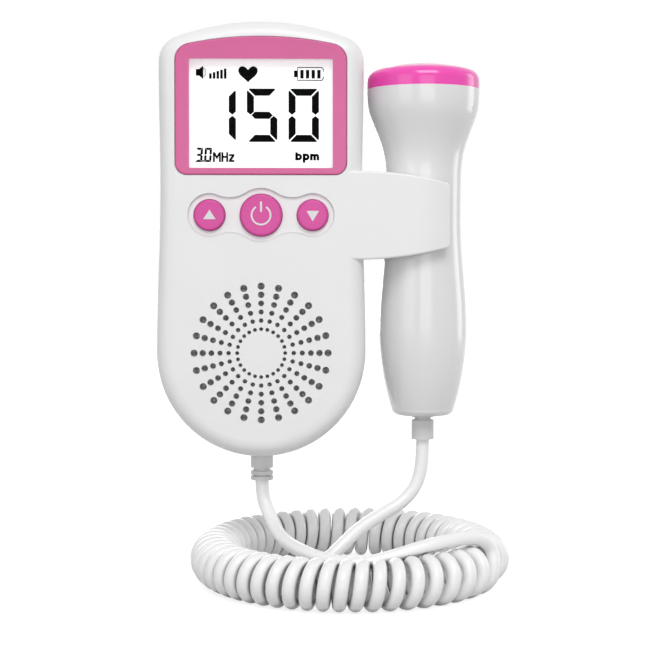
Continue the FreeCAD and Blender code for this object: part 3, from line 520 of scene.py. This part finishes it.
node_materials = {
    "front_shell": white_plastic,
    "rear_shell": white_plastic,
    "battery_cover": white_plastic,
    "probe_front_shell": probe_plastic,
    "probe_rear_shell": probe_plastic,
    "display_bezel": pink_plastic,
    "probe_face": face_plastic,
    "up_button": button_plastic,
    "power_button": button_plastic,
    "down_button": button_plastic,
    "display_window": clear_acrylic,
    "lcd_panel": display_glass,
    "lcd_backlight": milky_plastic,
    "lcd_connector_strip": conductive_rubber,
    "main_circuit_board": circuit_green,
    "probe_circuit_board": circuit_green,
    "speaker_cloth": dust_cloth,
    "speaker_frame": pressed_steel,
    "speaker_cone": speaker_paper,
    "speaker_magnet": zinc,
    "left_battery": left_battery_film,
    "right_battery": right_battery_film,
    "battery_contacts": nickel,
    "battery_springs": nickel,
    "earphone_socket": black_plastic,
    "rear_screws": zinc,
    "unit_strain_relief": relief_rubber,
    "probe_strain_relief": relief_rubber,
    "transmit_crystal": silvered,
    "receive_crystal": silvered,
    "crystal_backing": cast_resin,
}
for name in ("up", "power", "down"):
    node_materials[f"{name}_switch"] = black_plastic
    node_materials[f"{name}_plunger"] = black_plastic


def dress(piece, material):
    piece.data.materials.clear()
    piece.data.materials.append(material)


for name, material in node_materials.items():
    dress(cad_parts[name], material)
dress(unit_cord, cord_vinyl)
dress(probe_cord, cord_vinyl)


# ---- Display symbols and button marks, as thin inlays

# Where their fronts and backs are, along Y
display_ink_front = -31.66
display_ink_back = -31.60
mark_front = -34.75
mark_back = -34.66


def add_plate(mesh, outline, front, back):
    """Adds a thin plate with the given (x, z) outline to a mesh."""
    rings = []
    for y in (front, back):
        rings.append([mesh.verts.new(metres((x, y, z))) for x, z in outline])
    mesh.faces.new(rings[0])
    mesh.faces.new(list(reversed(rings[1])))
    count = len(outline)
    for k in range(count):
        following = (k + 1) % count
        mesh.faces.new((rings[0][k], rings[1][k], rings[1][following], rings[0][following]))


def make_inlay(name, outlines, front, back, body, material):
    """One piece of thin plates with the given (x, z) outlines."""
    mesh = bmesh.new()
    for outline in outlines:
        add_plate(mesh, outline, front, back)
    bmesh.ops.recalc_face_normals(mesh, faces=mesh.faces)
    bmesh.ops.triangulate(mesh, faces=[face for face in mesh.faces if len(face.verts) > 4])
    data = bpy.data.meshes.new(name)
    mesh.to_mesh(data)
    mesh.free()
    piece = bpy.data.objects.new(name, data)
    bpy.context.scene.collection.objects.link(piece)
    dress(piece, material)
    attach(piece, body)


def bar(left, right, bottom, top):
    """The outline of an upright rectangle."""
    return [(left, bottom), (right, bottom), (right, top), (left, top)]


def segments(left, bottom, width, height, thickness, gap, lit):
    """The outlines of a seven-segment digit's lit bars, mitred and blunted, named from a to g."""
    right, top = left + width, bottom + height
    middle = bottom + height / 2
    half = thickness / 2
    blunt = 0.12 * thickness
    tip = middle + gap * 0.6
    shoulder = middle + gap + half * 0.7
    bars = {
        "a": [
            (left + gap + 2 * blunt, top),
            (right - gap - 2 * blunt, top),
            (right - gap - blunt, top - blunt),
            (right - gap - thickness, top - thickness),
            (left + gap + thickness, top - thickness),
            (left + gap + blunt, top - blunt),
        ],
        "b": [
            (right - blunt, top - gap - blunt),
            (right, top - gap - 2 * blunt),
            (right, shoulder),
            (right - half, tip),
            (right - thickness, shoulder),
            (right - thickness, top - gap - thickness),
        ],
        "g": [
            (left + gap + half, middle),
            (left + gap + thickness, middle + half),
            (right - gap - thickness, middle + half),
            (right - gap - half, middle),
            (right - gap - thickness, middle - half),
            (left + gap + thickness, middle - half),
        ],
    }
    bars["c"] = [(x, bottom + top - z) for x, z in reversed(bars["b"])]
    bars["d"] = [(x, bottom + top - z) for x, z in reversed(bars["a"])]
    bars["e"] = [(left + right - x, z) for x, z in reversed(bars["c"])]
    bars["f"] = [(left + right - x, z) for x, z in reversed(bars["b"])]
    return [bars[name] for name in lit]


def leaned(outline, foot, slant):
    """An outline leaned to the right from the height of its foot."""
    return [(x + (z - foot) * slant, z) for x, z in outline]


def heart(centre_x, centre_z, width, height, steps=48):
    """A heart's outline: the usual curve of sines and cosines, made a little fuller."""
    curve_width, curve_height, curve_middle = 32, 29, -2.5
    points = []
    for k in range(steps):
        angle = 2 * math.pi * k / steps
        side = math.sin(angle)
        x = 16 * math.copysign(abs(side) ** 2.3, side)
        z = 13 * math.cos(angle) - 5 * math.cos(2 * angle) - 2 * math.cos(3 * angle) - math.cos(4 * angle)
        out = centre_x + x / curve_width * width
        up = centre_z + (z - curve_middle) / curve_height * height
        points.append((out, up))
    return points


def ring_band(centre_x, centre_z, inner, outer, start, end, steps):
    """A band along an arc, from one angle to another in degrees."""
    out, back = [], []
    for k in range(steps + 1):
        angle = math.radians(start + (end - start) * k / steps)
        out.append((centre_x + outer * math.cos(angle), centre_z + outer * math.sin(angle)))
        back.append((centre_x + inner * math.cos(angle), centre_z + inner * math.sin(angle)))
    return out + list(reversed(back))


def round_letter(left, baseline, width, stroke, stem_low, stem_high):
    """The shapes of a b or a p: a bowl, and a stem at its left."""
    radius = width / 2
    bowl = ring_band(left + radius, baseline + radius, radius - stroke, radius, -165.0, 165.0, 30)
    return [bar(left, left + stroke, stem_low, stem_high), bowl]


def letter_m(left, baseline, width, height, stroke):
    """The shapes of a small m: three stems under two arches."""
    pitch = (width - stroke) / 2
    radius = (pitch + stroke) / 2
    spring = baseline + height - radius
    shapes = [bar(left, left + stroke, baseline, baseline + height)]
    for k in range(2):
        shapes.append(ring_band(left + k * pitch + radius, spring, radius - stroke, radius, 0.0, 180.0, 16))
        shapes.append(bar(left + (k + 1) * pitch, left + (k + 1) * pitch + stroke, baseline, spring))
    return shapes


def capital_m(left, baseline, width, height, stroke):
    """The shapes of a capital M: two stems, and two slopes that meet above the baseline."""
    right, top, middle = left + width, baseline + height, left + width / 2
    dip = baseline + height * 0.24
    slope = stroke * 1.9  # a slope's thickness, upwards
    return [
        bar(left, left + stroke, baseline, top),
        bar(right - stroke, right, baseline, top),
        [(left + stroke, top), (middle, dip + slope), (middle, dip), (left + stroke, top - slope)],
        [(right - stroke, top), (right - stroke, top - slope), (middle, dip), (middle, dip + slope)],
    ]


def capital_h(left, baseline, width, height, stroke):
    """The shapes of a capital H: two stems and the bar between them."""
    right, top = left + width, baseline + height
    middle = baseline + height * 0.52
    return [
        bar(left, left + stroke, baseline, top),
        bar(right - stroke, right, baseline, top),
        bar(left + stroke, right - stroke, middle - stroke / 2, middle + stroke / 2),
    ]


def letter_z(left, baseline, width, height, stroke):
    """The shapes of a small z: two level bars and the slope between them."""
    right, top = left + width, baseline + height
    low, high = baseline + stroke, top - stroke
    slope = stroke * 1.4  # the slope's thickness, sideways
    return [
        bar(left, right, high, top),
        bar(left, right, baseline, low),
        [(left, low), (left + slope, low), (right, high), (right - slope, high)],
    ]


digit_bottom = 29.17
digit_height = 15.99
digit_width = 9.14
digit_thickness = 2.12
digit_gap = 0.30
digits = ((-16.72, "bc"), (-4.26, "afgcd"), (8.26, "abcdef"))
small_digit_bottom = 23.1
small_digit_height = 4.3
small_digit_width = 2.18
small_digit_thickness = 0.68
small_digit_gap = 0.05
small_digit_slant = 0.07
small_digits = ((-19.88, "abgcd"), (-17.18, "abcdef"))
decimal_point = (-17.66, -17.22, 23.15, 23.65)  # left, right, bottom and top

# The letters bpm and, after them, MHz
rate_unit_baseline = 23.66
rate_unit_stroke = 0.74
round_letter_lefts = (10.28, 12.52)
round_letter_width = 2.02
b_top = 26.05
p_foot = 22.95
small_m_left = 14.74
small_m_width = 2.74
small_m_height = 1.96
frequency_unit_baseline = 23.13
frequency_unit_stroke = 0.58
capital_height = 2.93
capital_m_left = -14.47
capital_m_width = 2.38
capital_h_left = -11.92
capital_h_width = 2.02
letter_z_left = -9.66
letter_z_width = 1.62
letter_z_height = 2.35

speaker_sign = [
    (-19.55, 49.0),
    (-18.6, 49.0),
    (-17.35, 47.95),
    (-17.35, 52.0),
    (-18.6, 50.97),
    (-19.55, 50.97),
]
sound_source = (-18.2, 49.97)
sound_waves = ((1.18, 1.28, 44.0, 10), (1.58, 1.76, 56.0, 14))  # inner and outer radius, half angle, steps
volume_bar_count = 5
volume_bar_first = -15.2
volume_bar_pitch = 1.11
volume_bar_half_width = 0.38
volume_bar_foot = 48.1
volume_bar_top = 49.7
volume_bar_rise = 0.36

battery_nub = (9.90, 10.92, 48.60, 50.60)  # left, right, bottom and top, as are the next
battery_outline = (10.90, 18.82, 47.57, 51.64)
battery_line = 0.26
battery_left_line = 0.18
battery_long_line_end = 18.35
battery_corner = 0.82
battery_opening = (48.90, 50.30)
battery_bar_lefts = (11.80, 13.48, 15.19, 16.89)
battery_bar_width = 1.00
battery_bar_foot = 48.25
battery_bar_top = 50.80

heart_centre = (-3.92, 49.44)
heart_size = (5.8, 4.85)


def number_shapes():
    """The heart rate and the small probe frequency."""
    shapes = []
    for left, lit in digits:
        shapes += segments(left, digit_bottom, digit_width, digit_height, digit_thickness, digit_gap, lit)
    small = []
    for left, lit in small_digits:
        small += segments(
            left,
            small_digit_bottom,
            small_digit_width,
            small_digit_height,
            small_digit_thickness,
            small_digit_gap,
            lit,
        )
    small.append(bar(*decimal_point))
    shapes += [leaned(outline, small_digit_bottom, small_digit_slant) for outline in small]
    return shapes


def unit_shapes():
    """The letters bpm under the rate and MHz beside the frequency."""
    low = rate_unit_baseline
    stroke = rate_unit_stroke
    b_left, p_left = round_letter_lefts
    shapes = round_letter(b_left, low, round_letter_width, stroke, low, b_top)
    shapes += round_letter(p_left, low, round_letter_width, stroke, p_foot, low + round_letter_width)
    shapes += letter_m(small_m_left, low, small_m_width, small_m_height, stroke)
    low = frequency_unit_baseline
    stroke = frequency_unit_stroke
    shapes += capital_m(capital_m_left, low, capital_m_width, capital_height, stroke)
    shapes += capital_h(capital_h_left, low, capital_h_width, capital_height, stroke)
    shapes += letter_z(letter_z_left, low, letter_z_width, letter_z_height, stroke)
    return shapes


def volume_shapes():
    """The speaker sign with its two sound waves, and five rising bars."""
    shapes = [speaker_sign]
    for inner, outer, half_angle, steps in sound_waves:
        shapes.append(ring_band(*sound_source, inner, outer, -half_angle, half_angle, steps))
    half = volume_bar_half_width
    for k in range(volume_bar_count):
        middle = volume_bar_first + volume_bar_pitch * k
        top = volume_bar_top + volume_bar_rise * k
        shapes.append(bar(middle - half, middle + half, volume_bar_foot, top))
    return shapes


def battery_shapes():
    """The battery sign: nub, four full bars and an outline that is open at its right end."""
    left, right, bottom, top = battery_outline
    line, corner = battery_line, battery_corner
    opening_bottom, opening_top = battery_opening
    shapes = [bar(*battery_nub)]
    for bar_left in battery_bar_lefts:
        shapes.append(bar(bar_left, bar_left + battery_bar_width, battery_bar_foot, battery_bar_top))
    shapes.append(bar(left, battery_long_line_end, top - line, top))
    shapes.append(bar(left, battery_long_line_end, bottom, bottom + line))
    shapes.append(bar(left, left + battery_left_line, bottom + line, top - line))
    shapes.append(ring_band(right - corner, top - corner, corner - line, corner, 0.0, 90.0, 8))
    shapes.append(bar(right - line, right, opening_top, top - corner))
    shapes.append(ring_band(right - corner, bottom + corner, corner - line, corner, -90.0, 0.0, 8))
    shapes.append(bar(right - line, right, bottom + corner, opening_bottom))
    return shapes


def make_display_symbols():
    shapes = number_shapes() + unit_shapes() + volume_shapes() + battery_shapes()
    shapes.append(heart(*heart_centre, *heart_size))
    front, back = display_ink_front, display_ink_back
    make_inlay("display_symbols", shapes, front, back, "handset", display_ink)


up_triangle = [(-17.3, 5.85), (-13.55, 5.85), (-15.42, 8.7)]
down_triangle = [(13.6, 8.35), (15.47, 5.22), (17.35, 8.35)]
power_centre = (0.0, 7.1)
power_ring_inner = 2.58
power_ring_outer = 3.1
power_ring_arc = (122.0, 418.0, 40)  # from and to in degrees, and steps
power_stroke = (-0.3, 0.3, 8.05, 11.15)  # left, right, bottom and top


def make_button_marks():
    ring = ring_band(*power_centre, power_ring_inner, power_ring_outer, *power_ring_arc)
    marks = {"up": [up_triangle], "down": [down_triangle], "power": [ring, bar(*power_stroke)]}
    for name, outlines in marks.items():
        make_inlay(f"{name}_mark", outlines, mark_front, mark_back, f"{name}_button", white_ink)


make_display_symbols()
make_button_marks()


# ---- Floor, backdrop and light

floor_z = -106.7
floor_half_size = 6.0  # metres
floor_grey = 0.45
floor_glow = 0.80
ambient_strength = 0.42
# Each area lamp's place, target, width and height in metres, and its power in watts
lamps = {
    "key_light": ((0.12, -0.80, 0.80), (0.02, -0.02, 0.0), (0.7, 0.5), 6.05),
    "front_light": ((0.10, -0.95, 0.0), (0.02, -0.02, -0.02), (0.5, 0.4), 1.1),
    "left_light": ((-0.60, -0.75, 0.10), (0.02, -0.02, -0.02), (0.5, 0.5), 0.9),
    "right_light": ((0.80, 0.25, 0.10), (0.05, -0.02, 0.0), (0.3, 0.6), 1.25),
    "back_light": ((-0.20, 0.95, 0.12), (0.02, -0.02, -0.02), (0.6, 0.4), 2.3),
}


def rays_that_see(nodes, links):
    """1 for the rays of the camera, of glass and of gloss, which see white all round, and 0 for the rest."""
    rays = nodes.new("ShaderNodeLightPath")
    seen = rays.outputs["Is Camera Ray"]
    for kind in ("Is Transmission Ray", "Is Glossy Ray"):
        either = nodes.new("ShaderNodeMath")
        either.operation = "MAXIMUM"
        links.new(seen, either.inputs[0])
        links.new(rays.outputs[kind], either.inputs[1])
        seen = either.outputs[0]
    return seen


def make_stage():
    material, nodes, links = new_material("floor_white")
    shader = nodes["Principled BSDF"]
    shader.inputs["Base Color"].default_value = (floor_grey, floor_grey, floor_grey, 1.0)
    shader.inputs["Roughness"].default_value = 0.9
    glow = nodes.new("ShaderNodeEmission")
    glow.inputs["Color"].default_value = (floor_glow, floor_glow, floor_glow, 1.0)
    links.new(rays_that_see(nodes, links), glow.inputs["Strength"])
    total = nodes.new("ShaderNodeAddShader")
    links.new(shader.outputs["BSDF"], total.inputs[0])
    links.new(glow.outputs["Emission"], total.inputs[1])
    links.new(total.outputs["Shader"], nodes["Material Output"].inputs["Surface"])
    size = floor_half_size
    mesh = bmesh.new()
    corners = [(-size, -size), (size, -size), (size, size), (-size, size)]
    mesh.faces.new([mesh.verts.new((x, y, floor_z * MM)) for x, y in corners])
    data = bpy.data.meshes.new("floor")
    mesh.to_mesh(data)
    mesh.free()
    floor = bpy.data.objects.new("floor", data)
    bpy.context.scene.collection.objects.link(floor)
    floor.data.materials.append(material)


def make_world():
    world = bpy.data.worlds.new("studio")
    bpy.context.scene.world = world
    world.use_nodes = True
    nodes, links = world.node_tree.nodes, world.node_tree.links
    output = nodes["World Output"]
    ambient = nodes["Background"]
    ambient.inputs["Color"].default_value = (1.0, 1.0, 1.0, 1.0)
    ambient.inputs["Strength"].default_value = ambient_strength
    backdrop = nodes.new("ShaderNodeBackground")
    backdrop.inputs["Color"].default_value = (1.0, 1.0, 1.0, 1.0)
    backdrop.inputs["Strength"].default_value = 1.0
    mix = nodes.new("ShaderNodeMixShader")
    links.new(rays_that_see(nodes, links), mix.inputs["Fac"])
    links.new(ambient.outputs["Background"], mix.inputs[1])
    links.new(backdrop.outputs["Background"], mix.inputs[2])
    links.new(mix.outputs["Shader"], output.inputs["Surface"])


def make_lamp(name, place, target, size, power):
    data = bpy.data.lights.new(name, "AREA")
    data.shape = "RECTANGLE"
    data.size, data.size_y = size
    data.energy = power
    lamp = bpy.data.objects.new(name, data)
    lamp.location = place
    direction = Vector(target) - Vector(place)
    lamp.rotation_euler = direction.to_track_quat("-Z", "Y").to_euler()
    bpy.context.scene.collection.objects.link(lamp)


make_stage()
make_world()
for name, (place, target, size, power) in lamps.items():
    make_lamp(name, place, target, size, power)

bpy.context.scene.view_settings.view_transform = "Standard"
